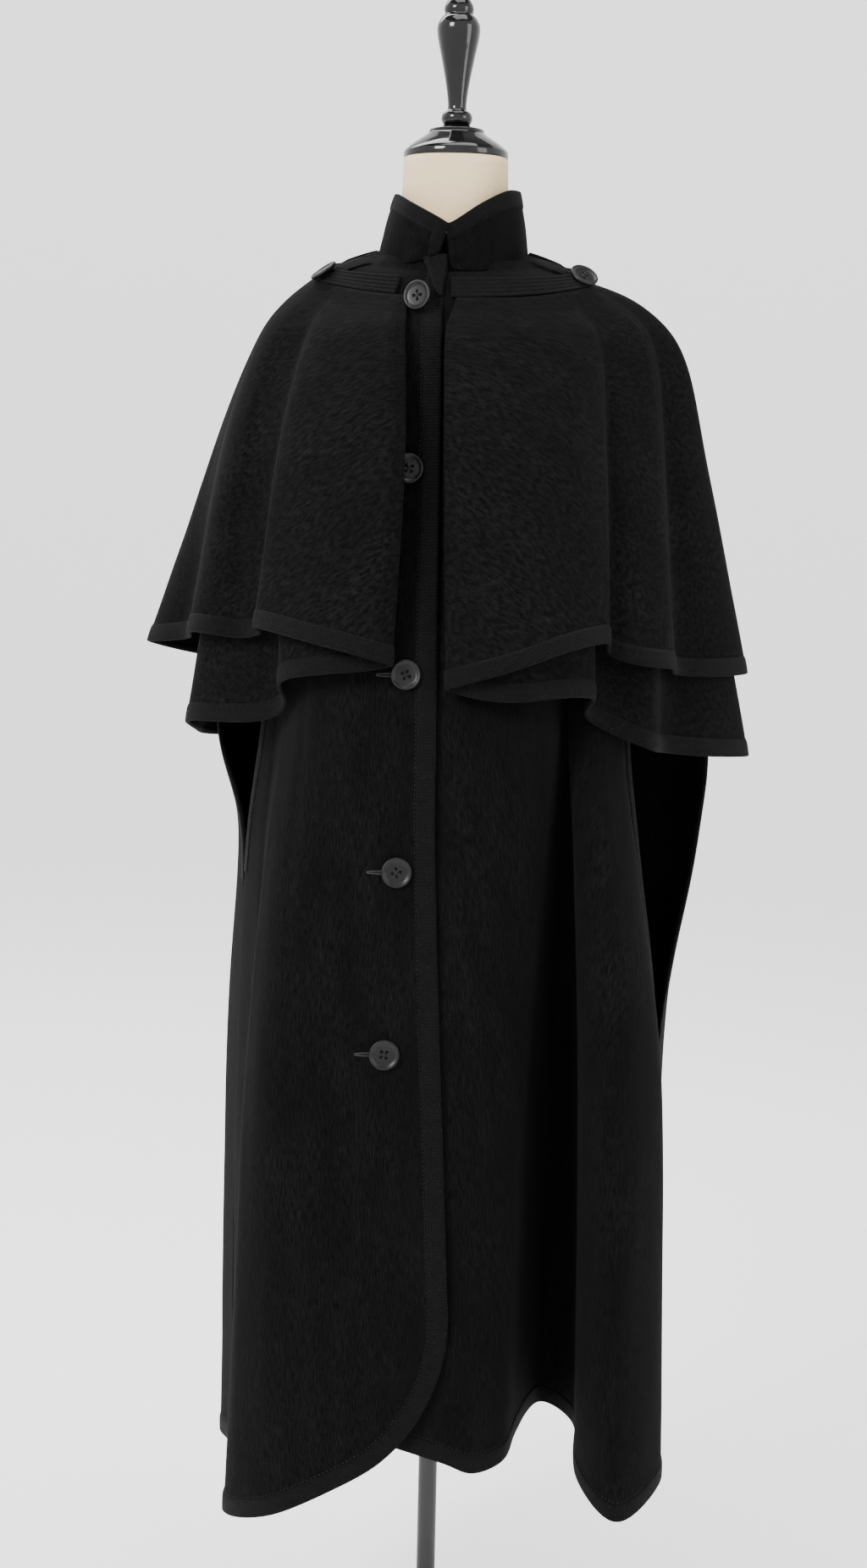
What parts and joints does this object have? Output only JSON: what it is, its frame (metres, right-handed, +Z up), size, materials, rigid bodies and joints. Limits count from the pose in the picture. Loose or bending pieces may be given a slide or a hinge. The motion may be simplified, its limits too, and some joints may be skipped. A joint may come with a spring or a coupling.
{
  "type": "wool cape coat on dress form",
  "caption": "Long wool coat with a two-tier shoulder cape and armhole slits, standing on a limbless dress form with a pole and round base.",
  "frame": {"origin": "centre of the base's underside, on the axis of the stand's pole", "axes": "+Z up, the coat's front faces -Y, the wearer's right is -X"},
  "size_m": [0.6251, 0.4342, 1.6926],
  "materials": {
    "cream linen": "plain linen drawn tight over a smooth form",
    "black lacquer": "high gloss black",
    "dark iron": "satin dark paint",
    "black cape felt": "smooth milled felt",
    "black brushed wool": "wool brushed with a vertical nap",
    "black braid": "ribbed and herringbone braid",
    "black button": "satin, slightly worn"
  },
  "bodies": {
    "root": {"arm_braid_left_back": "black braid", "arm_braid_left_front": "black braid", "arm_braid_right_back": "black braid", "arm_braid_right_front": "black braid", "back": "black brushed wool", "back_braid": "black braid", "collar": "black brushed wool", "collar_braid": "black braid", "dress_form": "cream linen", "finial": "black lacquer", "front_button_1": "black button", "front_button_2": "black button", "front_button_3": "black button", "front_button_4": "black button", "front_button_5": "black button", "left_front": "black brushed wool", "left_front_braid": "black braid", "lower_cape": "black cape felt", "lower_cape_braid": "black braid", "neck_cap": "black lacquer", "neck_tab": "black braid", "neckband_back": "black braid", "neckband_left": "black braid", "neckband_right": "black braid", "right_front": "black brushed wool", "right_front_braid": "black braid", "shoulder_button_left": "black button", "shoulder_button_right": "black button", "stand_base": "dark iron", "stand_pole": "dark iron", "upper_cape": "black cape felt", "upper_cape_braid": "black braid"}
  },
  "joints": []
}
